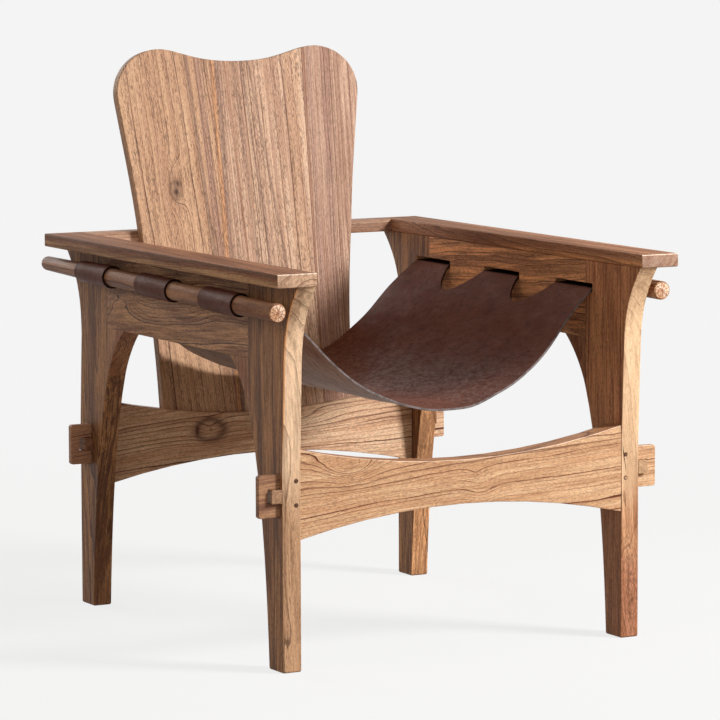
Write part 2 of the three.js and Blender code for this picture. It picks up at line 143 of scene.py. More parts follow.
sky = Finish(bpy.data.worlds.new("sky"))
scene.world = sky.owner
plain = sky.tree.nodes["Background"]
sky.feed(plain.inputs, {"Color": sky_tint, "Strength": sky_light})
shown = sky.node("Background", {}, {"Color": background, "Strength": 1.0})
either = sky.node("MixShader", {}, {0: background_rays(sky), 1: Value(sky, plain.outputs[0]), 2: shown})
sky.feed(sky.tree.nodes["World Output"].inputs, {"Surface": either})

floor_wide = 60.0
around = np.linspace(0, 2 * np.pi, 96, endpoint=False)
disc = np.column_stack([floor_wide * np.cos(around), floor_wide * np.sin(around), 0 * around])
floor_mesh = bpy.data.meshes.new("floor")
floor_mesh.from_pydata(disc.tolist(), [], [list(range(len(disc)))])
floor = placed("floor", floor_mesh)

shadow_near, shadow_far, shadow_share = 0.5, 2.4, 0.12
paper = Finish(bpy.data.materials.new("floor_paper"))
floor_mesh.materials.append(paper.owner)
from_chair = paper.vector("LENGTH", paper.node("TexCoord", out=3), out=1)
fading = {"From Min": shadow_near, "From Max": shadow_far, "To Min": shadow_share, "To Max": 0.0}
near = paper.node("MapRange", {}, {"Value": from_chair, **fading})
grey = paper.node("BsdfDiffuse", {}, {"Color": (0.3, 0.25, 0.2)})
white = paper.node("BsdfDiffuse", {}, {"Color": (0.97, 0.97, 0.97)})
glow = paper.node("Emission", {}, {"Color": background, "Strength": 1.0})
caught = paper.node("MixShader", {}, {0: near, 1: glow, 2: white})
both = paper.node("MixShader", {}, {0: background_rays(paper), 1: grey, 2: caught})
paper.feed(paper.tree.nodes["Material Output"].inputs, {"Surface": both})


def softbox(name, place, target, size, power, colour):
    """A square area lamp at a place, turned towards its target."""
    lamp = bpy.data.lights.new(name, "AREA")
    lamp.size, lamp.energy, lamp.color = size, power, colour
    made = placed(name, lamp)
    made.location = place
    made.rotation_euler = (Vector(target) - Vector(place)).to_track_quat("-Z", "Y").to_euler()


softbox("lamp_front_right", (2.48, -2.76, 2.37), (0, 0, 0.4), 1.0, 252, (1.0, 0.99, 0.975))
softbox("lamp_left", (-3.2, -1.3, 1.7), (0, 0, 0.45), 2.0, 22, (1.0, 0.9, 0.8))
softbox("lamp_front_low", (-0.4, -3.8, 0.5), (0, 0, 0.3), 1.5, 17, (1.0, 0.94, 0.87))
softbox("lamp_rear", (-0.9, 3.6, 1.9), (0, 0, 0.5), 2.0, 50, (1.0, 0.97, 0.94))

camera_place = (-2.9948, -5.5379, 1.1327)
yaw, pitch, roll = np.radians([-28.557, 6.642, -0.191])
camera = placed("camera", bpy.data.cameras.new("camera"))
scene.camera = camera
camera.data.sensor_width, camera.data.lens = 36.0, 207.24
backward = np.array([np.sin(yaw) * np.cos(pitch), -np.cos(yaw) * np.cos(pitch), np.sin(pitch)])
level = np.array([np.cos(yaw), np.sin(yaw), 0.0])
upward = np.cross(backward, level)
right = np.cos(roll) * level + np.sin(roll) * upward
upward = np.cos(roll) * upward - np.sin(roll) * level
turned_to = Matrix(np.column_stack([right, upward, backward]).tolist())
camera.matrix_world = Matrix.Translation(camera_place) @ turned_to.to_4x4()

# Legs
# Four legs sawn from 30 mm plank: straight outside, curved inside, flared out under the armrests.
# Each takes a stretcher's tenon and the end of a slot, and is glued to its apron and knee bracket.

seat_half, plank = 0.27, 0.03  # half the clear width between the side frames, and their thickness
shoulder = 0.238  # from the middle of a side frame to the joints between its apron and its legs
legs_ahead = 0.011  # the middle of a side frame lies this far in front of the origin
arm_low = 0.56  # the underside of the armrests
arris, foot_arris = 0.0012, 0.003  # how wide the frame's arrises are rounded, and those on the floor
sides = {"left": -1, "right": 1}
ends = {"front": -1, "rear": 1}
legs = [(end, forward, side, across) for end, forward in ends.items() for side, across in sides.items()]
grain_along = {"x": (0, 0, 0), "y": (0, 0, np.pi / 2), "z": (0, -np.pi / 2, 0)}


class Surface(Finish):
    """A piece's finish: a new material whose noise lies over one vector, such as the grain of its wood."""

    def __init__(self, name):
        super().__init__(bpy.data.materials.new(name))
        self.shader = self.tree.nodes["Principled BSDF"].inputs
        self.place = self.node("TexCoord", out=3)
        self.over = self.place

    def noise(self, stretch, detail=2.0, rough=0.5):
        """Soft noise round 0.5, with stretch lumps to the metre along each axis."""
        fine = self.vector("MULTIPLY", self.over, stretch)
        return self.node("TexNoise", {}, {"Vector": fine, "Scale": 1.0, "Detail": detail, "Roughness": rough})

    def band(self, value, low, high, to_low=0.0, to_high=1.0):
        """A smooth ramp: to_low where the value is at low, to_high where it is at high."""
        ramp = {"Value": value, "From Min": low, "From Max": high, "To Min": to_low, "To Max": to_high}
        return self.node("MapRange", {"interpolation_type": "SMOOTHSTEP"}, ramp)

    def mix(self, share, first, second, kind="MIX"):
        """The first colour with a share of the second over it."""
        settings = {"data_type": "RGBA", "blend_type": kind}
        return self.node("Mix", settings, {0: share, 6: first, 7: second}, out=2)

    def part(self, vector, axis):
        """One number of a vector."""
        return self.node("SeparateXYZ", {}, {0: vector}, out="xyz".index(axis))


def knot(spot, wide, lift=0.0, dark=0.0, hollow=0.0):
    """A knot: its place, its reach along x, y and z, how far it lifts the growth rings, how dark its eye is,
    and how far out the eye is darkest, as a share of the reach."""
    return spot, wide, lift, dark, hollow


def layer(colour, calm=0.0, **ramps):
    """A colour that covers where all its ramps are met. Each goes from its first number to its second, over
    place (x, y, z) or facing (nx, ny, nz). Calm is the share by which the layer quiets the figure."""
    return colour, calm, ramps


def hump(distance, steep=1.0):
    """1 at no distance, and falling on both sides as e to the power of minus steep times its square."""
    return 2.718 ** (-(distance * distance) * steep)


def growth(wood, ring, warp, knots):
    """Growth rings: distances from the pith line, bent by slow noise, lifted round each knot and made uneven.
    Gives how far through its ring a place is, each ring's own strength, and the knots' dark eyes."""
    distance = wood.vector("LENGTH", wood.vector("MULTIPLY", wood.over, (0, 1, 1)), out=1)
    distance = distance + (wood.noise((2, 9, 9)) - 0.5) * (warp * 2)
    distance = distance + (wood.noise((7, 45, 45), 3) - 0.5) * (warp * 0.45)
    eye = 0.0
    for spot, wide, lift, dark, hollow in knots:
        away = wood.vector("DIVIDE", wood.vector("SUBTRACT", wood.place, spot), wide)
        far = wood.vector("LENGTH", away, out=1) + (wood.noise((30, 60, 60)) - 0.5) * 0.3
        distance = distance + hump(far) * lift
        eye = hump(far - hollow, 10.0) * dark + eye
    rings = distance / ring
    slow = {"W": rings * 0.25, "Scale": 1.0, "Detail": 1.0}
    rings = rings + (wood.node("TexNoise", {"noise_dimensions": "1D"}, slow) - 0.5) * 2.0
    order = rings.math("FLOOR", rings)
    strength = wood.node("TexWhiteNoise", {"noise_dimensions": "1D"}, {"W": order})
    return rings - order, strength, eye


def latewood_of(wood, ring, within, strength):
    """The dark line that ends each ring: a soft onset and a crisp core, as strong as the ring is and broken
    along the grain. The core takes the last 1.5 mm of a ring, and never more than 22 % of it."""
    core = max(0.78, 1.0 - 0.0015 / ring)
    onset = wood.band(within, 0.86 - strength * 0.5, 0.97) * 0.5
    onset = onset + wood.band(within, core - 0.04, core + 0.02) * 0.8
    broken = wood.band(wood.noise((14, 420, 420)), 0.3, 0.58, 0.45, 1.0)
    return onset * wood.band(within, 1.0, 0.985) * (strength**2.2 * 0.88 + 0.12) * broken


def laid_over(wood, colour, tone, dark, layers):
    """The colour with its layers over it, and the share of the figure that they leave."""
    facing = Value(wood, wood.place.socket.node.outputs["Normal"])
    calm = 1.0
    for laid, calming, ramps in layers:
        met = 1.0
        for axis, (start, stop) in ramps.items():
            if axis[0] == "n":
                level = wood.part(facing, axis[1])
            else:
                wander = (wood.noise((3, 30, 30)) - 0.5) * abs(stop - start) * 1.6
                level = wood.part(wood.place, axis) + wander
            met = wood.band(level, start, stop) * met
        colour = wood.mix(met * 0.92, colour, wood.mix(tone * (0.8 - calming * 0.7), laid, dark))
        calm = (1.0 - met * calming) * calm
    return colour, calm


def striped(wood, colour, stripes):
    """The colour with straight stripes over it, each through two places in x and z, with frayed edges."""
    for (x_low, z_low), (x_high, z_high), half, streak, share in stripes:
        long = np.hypot(x_high - x_low, z_high - z_low)
        aside = ((z_high - z_low) / long, 0, (x_low - x_high) / long)
        middle = aside[0] * x_low + aside[2] * z_low
        off = wood.vector("DOT_PRODUCT", wood.place, aside, out=1) - middle
        off = abs(off + (wood.noise((6, 90, 90)) - 0.5) * half)
        colour = wood.mix(wood.band(off, half, half * 0.55) * share, colour, streak)
    return colour


def timber(
    name, along, pith, tones, line, ring, warp, knots=(), layers=(), stripes=(), tilt=(0, 0, 0),
    lines=0.85, dashes=0.3, rough=(0.42, 0.58)
):
    """Solid wood round a pith line along one axis, turned by tilt in degrees. Pale and dark tones follow
    streaks and rings, and the third one flushes them. Latewood, dashes and pores have the line's colour, as
    strongly as lines and dashes say. Fibres darken it finely. Rough is its least and most roughness."""
    wood = Surface(name)
    turn = tuple(a + np.radians(b) for a, b in zip(grain_along[along], tilt))
    wood.over = wood.node("Mapping", {"vector_type": "TEXTURE"}, {0: wood.place, 1: pith, 2: turn})
    within, strength, eye = growth(wood, ring, warp, knots)
    latewood = latewood_of(wood, ring, within, strength)

    streaks = wood.noise((5, 210, 210), 4, 0.62)
    fibres = wood.noise((20, 900, 900), 3, 0.6)
    slow = wood.noise((3, 26, 26))
    middling = wood.noise((2.5, 70, 70), 3, 0.6)
    blushes = wood.noise((4, 110, 110), 2, 0.6)
    speckle = wood.noise((230, 1300, 1300), 2, 0.6)
    cluster = wood.noise((9, 140, 140))
    vessels = wood.band(within, 0.0, 0.1) * wood.band(within, 0.75, 0.3) * strength
    dash = wood.noise((125, 760, 760), 2, 0.4) + vessels * 0.08 + (cluster - 0.5) * 0.5
    dash = wood.band(dash, 0.575, 0.645)
    pores = wood.band(wood.noise((160, 2300, 2300), 2, 0.4), 0.56, 0.66)

    pale, dark, flush = tones
    tone = streaks * 0.42 + middling * 0.26 + within * strength * 0.12 + slow * 0.32
    tone = wood.band(tone, 0.435, 0.605)
    colour = wood.mix(tone, pale, dark)
    colour = wood.mix(wood.band(blushes, 0.48, 0.66) * 0.6, colour, flush)
    colour, calm = laid_over(wood, colour, tone, dark, layers)
    colour = striped(wood, colour, stripes)
    colour = wood.mix(latewood * calm * lines, colour, line)
    colour = wood.mix(dash * calm * dashes, colour, line)
    colour = wood.mix(pores * calm * 0.3 * lines, colour, line)
    darker = wood.mix(0.5, colour, (0.0, 0.0, 0.0), "SOFT_LIGHT")
    colour = wood.mix(wood.band(fibres, 0.3, 0.7) * 0.7, colour, darker)
    light = wood.band(speckle, 0.3, 0.7, -0.22, 0.2) * calm + 1.0
    colour = wood.node("VectorMath", {"operation": "SCALE"}, {0: colour, "Scale": light})
    if knots:
        colour = wood.mix(eye, colour, tuple(0.7 * c for c in line))

    relief = fibres * 0.4 - pores * 0.4 - dash * dashes - latewood * 0.3
    bumps = wood.node("Bump", {}, {"Strength": 0.35, "Distance": 0.0006, "Height": relief})
    dull = wood.band(fibres * 0.5 + streaks * 0.5, 0.3, 0.7, *rough)
    look = {"Base Color": colour, "Roughness": dull, "Specular IOR Level": 0.16, "Normal": bumps}
    wood.feed(wood.shader, look)
    return wood.owner


def eased(name, material, width, glued=(), split=(), worn=()):
    """A copy of a node with its triangles merged into flat faces and its arrises rounded over. Those in a
    glued plane (axis, place) stay sharp, or only between two places where it has (axis, low, high) too. Those
    that cross a split plane are divided there, and those in a worn plane have a width of their own."""
    flat_turn, arris_turn, smooth_turn = np.radians([0.4, 40, 30])
    same_point, same_plane = 1e-5, 1e-4
    work = bmesh.new()
    work.from_mesh(nodes[name].data)
    bmesh.ops.remove_doubles(work, verts=work.verts, dist=same_point)
    bmesh.ops.dissolve_limit(work, angle_limit=flat_turn, verts=work.verts, edges=work.edges)
    for axis, place in split:
        normal = Vector([float(axis == a) for a in "xyz"])
        whole = work.verts[:] + work.edges[:] + work.faces[:]
        bmesh.ops.bisect_plane(work, geom=whole, plane_co=normal * place, plane_no=normal)
    mesh = bpy.data.meshes.new(name + "_shape")
    work.to_mesh(mesh)
    angles = np.array([e.calc_face_angle(0.0) for e in work.edges])
    work.free()
    points = np.empty(len(mesh.vertices) * 3)
    mesh.vertices.foreach_get("co", points)
    pairs = np.empty(len(mesh.edges) * 2, int)
    mesh.edges.foreach_get("vertices", pairs)
    corners = points.reshape(-1, 3)[pairs.reshape(-1, 2)]

    def in_plane(axis, place):
        return np.abs(corners[:, :, "xyz".index(axis)] - place).max(1) < same_plane

    sharp = angles > arris_turn
    for axis, place, *within in glued:
        inside = in_plane(axis, place)
        for other, low, high in within:
            middle = corners[:, :, "xyz".index(other)].mean(1)
            inside &= (middle > low) & (middle < high)
        sharp &= ~inside
    wide = np.where(sharp, width, 0.0)
    for axis, place, worn_width in worn:
        wide[sharp & in_plane(axis, place)] = worn_width
    weights = mesh.attributes.new("bevel_weight_edge", "FLOAT", "EDGE")
    weights.data.foreach_set("value", (wide / wide.max()).astype(np.float32))
    mesh.shade_smooth()
    mesh.set_sharp_from_angle(angle=smooth_turn)
    mesh.materials.append(material)
    piece = placed(name + "_wood", mesh)
    bevel = piece.modifiers.new("arris", "BEVEL")
    bevel.width, bevel.segments, bevel.limit_method = wide.max(), 3, "WEIGHT"
    bevel.use_clamp_overlap, bevel.harden_normals = False, True
    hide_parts(name)
    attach(piece, "frame")


leg_line = shade(66, 40, 28)
shaded_tones = shade(196, 146, 100), shade(112, 72, 46), shade(152, 106, 73)
warm_tones = shade(214, 156, 110), shade(156, 102, 68), shade(188, 128, 90)
front_face = {"ny": (-0.35, -0.75)}
leg_looks = {
    "front_left": dict(
        pith=(-0.33, -0.18, 0.3), tones=shaded_tones,
        layers=[
            layer(shade(202, 164, 130), 0.3, **front_face),
            layer(shade(244, 214, 182), 0.5, **front_face, z=(0.22, 0.34)),
            layer(shade(190, 158, 128), **front_face, z=(0.45, 0.53), x=(-0.281, -0.289)),
            layer(shade(222, 162, 108), 0.4, **front_face, z=(0.3, 0.36), x=(-0.2965, -0.2985)),
        ],
        knots=[knot((-0.285, -0.353, 0.16), (0.01, 0.03, 0.06), lift=0.01)],
    ),
    "front_right": dict(
        pith=(0.25, -0.2, 0.3), tones=warm_tones,
        layers=[
            layer(shade(236, 206, 170), 0.6, **front_face, z=(0.08, 0.24)),
            layer(shade(214, 166, 128), **front_face, z=(0.28, 0.16)),
            layer(shade(190, 134, 106), **front_face, z=(0.14, 0.08)),
            # Darker towards the bottom of the inner face: painted shade.
            layer(shade(186, 134, 96), nx=(-0.35, -0.75), z=(0.28, 0.18)),
        ],
        knots=[
            knot((0.289, -0.353, 0.055), (0.011, 0.03, 0.026), lift=0.013, dark=0.3),
            knot((0.28, -0.353, 0.095), (0.02, 0.03, 0.06), lift=0.01),
        ],
    ),
    "rear_left": dict(pith=(-0.34, 0.27, 0.3), tones=shaded_tones),
    "rear_right": dict(
        pith=(0.33, 0.2, 0.3), tones=shaded_tones,
        layers=[layer(shade(248, 190, 139), 0.2, **front_face)],
        knots=[knot((0.2845, 0.27, 0.2155), (0.0035, 0.03, 0.012), lift=0.006, dark=0.9)],
    ),
}
for end, forward, side, across in legs:
    name = f"{end}_{side}_leg"
    figure = dict(line=leg_line, ring=0.0034, warp=0.016, lines=0.95, dashes=0.45)
    figure["tilt"] = (2 * across, 3 * forward, 0)
    material = timber(name + "_wood", "z", **leg_looks[f"{end}_{side}"], **figure)
    joints = [("y", forward * shoulder - legs_ahead), ("z", arm_low)]
    eased(name, material, arris, glued=joints, worn=[("z", 0.0, foot_arris)])

# Aprons and knee brackets
# A board between the legs of each side, right under the armrest, with the slots that the leather goes
# through, and a small curved bracket glued into each corner below it.

apron_low = 0.444  # the underside of the aprons
bracket_reach = 0.058  # how far a bracket reaches along its apron from the leg
apron_tones = shade(220, 172, 128), shade(150, 104, 74), shade(186, 142, 106)
apron_looks = {
    "left": dict(
        pith=(-0.262, 0.1, 0.62), lines=1.55,
        knots=[
            knot((-0.3, 0.19, 0.535), (0.05, 0.055, 0.055), lift=0.06),
            knot((-0.3, -0.16, 0.5), (0.05, 0.09, 0.03), lift=0.01),
        ],
    ),
    "right": dict(
        pith=(0.3, 0.05, 0.4), lines=0.95,
        # Lighter on the inner face: painted light.
        layers=[layer(shade(252, 190, 134), nx=(-0.4, -0.8))],
    ),
}
bracket_tones = shade(196, 146, 106), shade(146, 100, 70), shade(186, 124, 84)
joints = [forward * shoulder - legs_ahead for forward in ends.values()]
tips = [forward * (shoulder - bracket_reach) - legs_ahead for forward in ends.values()]
glued = [("z", arm_low)] + [("y", joint) for joint in joints]
glued += [("z", apron_low, ("y", -1.0, tips[0])), ("z", apron_low, ("y", tips[1], 1.0))]
for side, across in sides.items():
    figure = dict(tones=apron_tones, line=shade(56, 33, 22), ring=0.0044, warp=0.024, dashes=0.35)
    material = timber(f"{side}_apron_wood", "y", tilt=(0, 4, 3 * across), **apron_looks[side], **figure)
    eased(f"{side}_apron", material, arris, glued=glued, split=[("y", tip) for tip in tips])
    for end, forward in ends.items():
        name = f"{end}_{side}_knee_bracket"
        pith = (across * 0.31, forward * 0.2, 0.36)
        figure = dict(line=leg_line, ring=0.003, warp=0.01, lines=0.9)
        material = timber(name + "_wood", "z", pith, bracket_tones, tilt=(30 * forward, 8, 0), **figure)
        corner = [("y", forward * shoulder - legs_ahead), ("z", apron_low)]
        eased(name, material, arris, glued=corner)

# Stretchers
# Front and rear boards with a waist, 34 mm thick. A through tenon at each end passes the leg and takes a
# wedge outside it; two pegs pin it inside the leg. The rear one carries the back in a groove.

stretcher_arris = 0.001
left_tenon = {"x": (-0.2996, -0.3004)}
# The armrests and the front stretcher carry a pale line along their upper front arrises: a painted highlight.
highlight_arris = {"ny": (-0.25, -0.45), "nz": (0.25, 0.45)}
painted_highlight = shade(250, 232, 214)
stretcher_looks = {
    "front": dict(
        pith=(0, -0.32, 0.06), line=shade(104, 56, 38), ring=0.0072,
        tones=(shade(223, 188, 151), shade(200, 158, 121), shade(210, 165, 127)),
        knots=[
            knot((-0.189, -0.352, 0.292), (0.042, 0.05, 0.022), lift=0.038, dark=0.12),
            knot((0.018, -0.352, 0.268), (0.013, 0.05, 0.01), lift=0.006, dark=0.05),
            knot((0.03, -0.352, 0.238), (0.024, 0.05, 0.03), lift=0.012),
        ],
        layers=[
            # The top face is darker: painted shade.
            layer(shade(176, 122, 86), 0.2, nz=(0.5, 0.85)),
            layer(shade(114, 74, 58), 0.2, **left_tenon),
            # Painted highlight along the upper front arris.
            layer(painted_highlight, 0.6, **highlight_arris, x=(-0.272, -0.27)),
        ],
    ),
    "rear": dict(
        pith=(0, 0.36, 0.08), line=shade(96, 56, 40), ring=0.006,
        tones=(shade(234, 202, 170), shade(198, 156, 125), shade(214, 168, 134)),
        knots=[
            knot((-0.096, 0.286, 0.265), (0.026, 0.05, 0.018), lift=0.012, dark=0.75, hollow=0.9),
            knot((-0.118, 0.286, 0.266), (0.007, 0.05, 0.016), dark=0.8),
            knot((-0.094, 0.286, 0.266), (0.006, 0.05, 0.005), dark=0.8),
            knot((0.045, 0.286, 0.274), (0.07, 0.05, 0.018), lift=0.014),
        ],
        layers=[layer(shade(182, 136, 110), 0.2, **left_tenon)],
    ),
}
for end, look in stretcher_looks.items():
    name = f"{end}_stretcher"
    material = timber(name + "_wood", "x", **look, warp=0.024, tilt=(0, -4, 2), lines=1.6, dashes=0.2)
    eased(name, material, stretcher_arris, glued=[("x", -seat_half), ("x", seat_half)])

# Wedges
# Tapered keys, driven fore and aft through the tenons outside the legs. They draw the joints tight and are
# held by friction alone, so they can be drawn out.


def mesh_of(name, points, faces, materials, second=(), arrises=True):
    """An object at the origin from an array of points and a list of faces, shaded smooth. Where it has
    arrises, faces that meet at more than 40 degrees don't share their shading. Faces numbered in second
    take the second material."""
    mesh = bpy.data.meshes.new(name + "_shape")
    mesh.from_pydata(np.asarray(points).tolist(), [], [list(map(int, f)) for f in faces])
    for material in materials:
        mesh.materials.append(material)
    for number in second:
        mesh.polygons[number].material_index = 1
    mesh.shade_smooth()
    if arrises:
        mesh.set_sharp_from_angle(angle=np.radians(40))
    return placed(name, mesh)


def grid_faces(rows, columns, closed=False):
    """Quads between neighbours of a rows by columns grid of points. Each row may be closed on itself."""
    r, c = np.meshgrid(np.arange(rows - 1), np.arange(columns - (not closed)), indexing="ij")
    start, next_row, aside = r * columns, (r + 1) * columns, (c + 1) % columns
    return np.stack([start + c, start + aside, next_row + aside, next_row + c], -1).reshape(-1, 4)


def slab(outline, low, high, ease, steps=4):
    """A board from a closed outline, anticlockwise in u and v, with thickness from low to high in w. Its
    arrises are quarter circles: at angle a the outline is drawn in by ease (1 - sin a) along its mitres, and
    the surface lies ease (1 - cos a) inside the face. Gives points (u, v, w) and faces, both ends closed."""
    outline = np.asarray(outline, float)
    run = np.roll(outline, -1, 0) - outline
    run /= np.linalg.norm(run, axis=1, keepdims=True)
    outward = np.column_stack([run[:, 1], -run[:, 0]])
    before = np.roll(outward, 1, 0)
    mitre = (before + outward) / (1 + (before * outward).sum(1))[:, None]
    angle = np.linspace(0, np.pi / 2, steps + 1)
    inset = ease * (1 - np.sin(angle))
    depth = ease * (1 - np.cos(angle))
    inset = np.concatenate([inset, inset[::-1]])
    level = np.concatenate([low + depth, high - depth[::-1]])
    flat = outline[None] - mitre[None] * inset[:, None, None]
    points = np.concatenate([flat, np.broadcast_to(level[:, None, None], flat.shape[:2] + (1,))], -1)
    rows, columns = flat.shape[:2]
    faces = grid_faces(rows, columns, closed=True).tolist()
    faces.append(list(range(columns))[::-1])
    faces.append([(rows - 1) * columns + i for i in range(columns)])
    return points.reshape(-1, 3), faces


rail_middle = 0.2565  # the middle of tenons and wedges above the floor
key_high, key_gap, key_arris = 0.02, 0.0003, 0.0008
tip_thick, head_thick = 0.013, 0.0155
key_line = shade(110, 78, 56)
pale_key = shade(208, 176, 140), shade(182, 146, 112), shade(194, 156, 122)
key_tones = {
    "front_left": (shade(186, 150, 120), shade(146, 108, 82), shade(164, 126, 100)),
    "front_right": pale_key,
    "rear_left": (shade(160, 116, 88), shade(116, 76, 56), shade(136, 94, 70)),
    "rear_right": pale_key,
}
for end, forward, side, across in legs:
    name = f"{end}_{side}_wedge"
    low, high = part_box(name)
    tip, head = (low.y, high.y) if forward > 0 else (high.y, low.y)
    flat = across * (seat_half + plank + key_gap)
    slim, broad = flat + across * tip_thick, flat + across * head_thick
    plan = [(flat, tip), (slim, tip), (broad, head), (flat, head)]
    plan = plan if across * forward > 0 else plan[::-1]
    points, faces = slab(plan, rail_middle - key_high / 2, rail_middle + key_high / 2, key_arris, 3)
    tones = key_tones[f"{end}_{side}"]
    material = timber(name + "_wood", "y", (across * 0.29, 0, 0.23), tones, key_line, 0.0025, 0.004)
    wedge = mesh_of(name + "_key", points, faces, [material])
    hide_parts(name)
    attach(wedge, name)

# Pegs
# Dowels of dark wood, 5.5 mm thick, that pin the tenons. They go in from the front face of the front legs and
# the rear face of the rear ones, end flush, and show a darker rim. One of the front caps came out pale.

peg_ease, peg_ease_long = 0.0007, 0.0003
peg_line = shade(44, 28, 20)
peg_tones = shade(150, 104, 78), shade(104, 70, 50), shade(124, 84, 62)
pale_tones = shade(214, 174, 140), shade(178, 136, 106), shade(196, 150, 118)
rim_tones = shade(74, 46, 32), shade(58, 36, 26), shade(66, 42, 30)
peg_wood = timber("peg_wood", "y", (0, 0, 0.26), peg_tones, peg_line, 0.0016, 0.002)
pale_peg = timber("pale_peg_wood", "y", (0, 0, 0.26), pale_tones, shade(104, 72, 52), 0.0016, 0.002)
peg_rim = timber("peg_rim", "y", (0, 0, 0.26), rim_tones, peg_line, 0.0016, 0.002)


def turned(profile, around=48):
    """A solid of revolution: profile points (radius, along) are carried round the axis. The last two faces
    are flat caps over its ends. Gives points (across, along, up) with the axis at zero."""
    profile = np.asarray(profile, float)
    turn = np.linspace(0, 2 * np.pi, around, endpoint=False)
    radius, along = profile[:, :1], profile[:, 1:]
    points = np.stack([radius * np.cos(turn), along + 0 * turn, radius * np.sin(turn)], -1)
    rows = len(profile)
    faces = grid_faces(rows, around, closed=True)[:, ::-1].tolist()
    faces.append(list(range(around)))
    faces.append([(rows - 1) * around + i for i in range(around)][::-1])
    return points.reshape(-1, 3), faces


def dowel(radius, low, high, ease, ease_long):
    """A dowel from low to high along its axis, eased at both ends by a cone: ease across, ease_long along."""
    profile = [(radius - ease, low), (radius, low + ease_long)]
    profile += [(radius, high - ease_long), (radius - ease, high)]
    return turned(profile, 24)


for name in [f"{end}_{side}_peg_{number}" for end in ends for side in sides for number in (1, 2)]:
    low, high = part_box(name)
    middle = (low + high) / 2
    points, faces = dowel((high.z - low.z) / 2, low.y, high.y, peg_ease, peg_ease_long)
    points += [middle.x, 0, middle.z]
    cap = pale_peg if name == "front_right_peg_1" else peg_wood
    peg = mesh_of(name + "_dowel", points, faces, [peg_rim, cap], second=(-2, -1))
    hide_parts(name)
    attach(peg, "frame")

# Armrests
# Flat boards, 20 mm thick, on top of the side frames. They overhang outside, in front and behind, and their
# arrises are eased by hand.


def oblong(wide, long, corner, steps=4):
    """A rectangle centred on zero with quarter-circle corners, anticlockwise."""
    turn = np.linspace(0, np.pi / 2, steps + 1)
    quarter = corner * np.column_stack([np.cos(turn), np.sin(turn)])
    arcs = []
    for number, (sx, sy) in enumerate([(1, 1), (-1, 1), (-1, -1), (1, -1)]):
        spin = np.array([[0, 1], [-1, 0]])
        arc = quarter @ np.linalg.matrix_power(spin, number)
        arcs.append(arc + [sx * (wide / 2 - corner), sy * (long / 2 - corner)])
    return np.concatenate(arcs)


arm_corner, arm_arris = 0.002, 0.0022
arm_looks = {
    "left": dict(
        pith=(-0.255, 0.0, 0.5),
        tones=(shade(173, 124, 92), shade(126, 83, 58), shade(158, 107, 77)),
        layers=[
            layer(shade(206, 166, 126), 0.2, nx=(-0.4, -0.8), z=(0.5715, 0.5675)),
            layer(shade(124, 84, 64), 0.1, nx=(-0.4, -0.8), z=(0.5725, 0.5745)),
            layer(shade(214, 182, 154), 0.3, ny=(-0.4, -0.8)),
            # Painted highlight along the upper front arrises.
            layer(painted_highlight, 0.6, **highlight_arris),
        ],
    ),
    "right": dict(
        pith=(0.36, 0.0, 0.515),
        tones=(shade(186, 138, 104), shade(146, 100, 72), shade(172, 118, 84)),
        layers=[
            layer(shade(226, 168, 118), 0.2, nx=(-0.4, -0.8), z=(0.5715, 0.5665), y=(0.12, -0.1)),
            layer(shade(178, 149, 132), 0.3, ny=(-0.4, -0.8)),
            # Painted highlight along the upper front arrises.
            layer(painted_highlight, 0.6, **highlight_arris),
        ],
    ),
}
for side, across in sides.items():
    name = f"{side}_armrest"
    low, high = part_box(name)
    middle = (low + high) / 2
    figure = dict(line=shade(84, 54, 38), ring=0.0034, warp=0.014, lines=1.1, dashes=0.4, rough=(0.55, 0.71))
    material = timber(name + "_wood", "y", tilt=(0, 0, 2 * across), **arm_looks[side], **figure)
    outline = oblong(high.x - low.x, high.y - low.y, arm_corner)
    points, faces = slab(outline, low.z, high.z, arm_arris)
    armrest = mesh_of(name + "_board", points + [middle.x, middle.y, 0], faces, [material])
    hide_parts(name)
    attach(armrest, "frame")

# Crossbar
# A bar between the armrests behind the back. Two dowels at each end pin it to their inner edges, and two
# countersunk steel screws go through it into the back.

pin_ease = 0.0005
crossbar_tones = shade(184, 146, 120), shade(146, 108, 84), shade(168, 124, 98)
crossbar_left = layer(shade(230, 192, 163), 0.2, x=(-0.05, -0.2))
figure = dict(line=shade(92, 60, 42), ring=0.0034, warp=0.014, layers=[crossbar_left])
crossbar_wood = timber("crossbar_wood", "x", (0, 0.34, 0.52), crossbar_tones, **figure)
eased("crossbar", crossbar_wood, arris, glued=[("x", -seat_half), ("x", seat_half)])
pin_wood = timber("pin_wood", "x", (0, 0.36, 0.56), pale_key, key_line, 0.002, 0.003)
for name in [f"{side}_crossbar_pin_{number}" for side in sides for number in (1, 2)]:
    low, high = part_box(name)
    middle = (low + high) / 2
    points, faces = dowel((high.z - low.z) / 2, low.x, high.x, pin_ease, pin_ease)
    points = points[:, [1, 0, 2]] + [0, middle.y, middle.z]
    pin = mesh_of(name + "_dowel", points, [f[::-1] for f in faces], [pin_wood])
    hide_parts(name)
    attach(pin, "frame")

screw_arris = 0.0003
steel = Surface("screw_steel")
brushed = steel.noise((900, 900, 900), 3)
colour = steel.mix(brushed, shade(196, 194, 188), shade(158, 156, 150))
steel.feed(steel.shader, {"Metallic": 1.0, "Base Color": colour, "Roughness": brushed * 0.25 + 0.22})
for side in sides:
    eased(f"back_screw_{side}", steel.owner, screw_arris)

# Back
# Three upright boards glued edge to edge and cut to a butterfly top. They lean back on the crossbar and
# stand in the rear stretcher's groove.

glue_lines, back_arris = (-0.044, 0.115), 0.002
stripe_low, stripe_high = 0.537, 0.842  # the two heights at which each stripe's place in x is given
dusk, rust, plum = shade(134, 104, 90), shade(146, 92, 66), shade(164, 126, 114)
amber, ochre = shade(218, 164, 116), shade(200, 158, 124)


def stripe(x_low, x_high, half, colour, share):
    """A streak up the back: its place at the two heights, half its width, its colour and how strong it is."""
    return (x_low, stripe_low), (x_high, stripe_high), half, colour, share


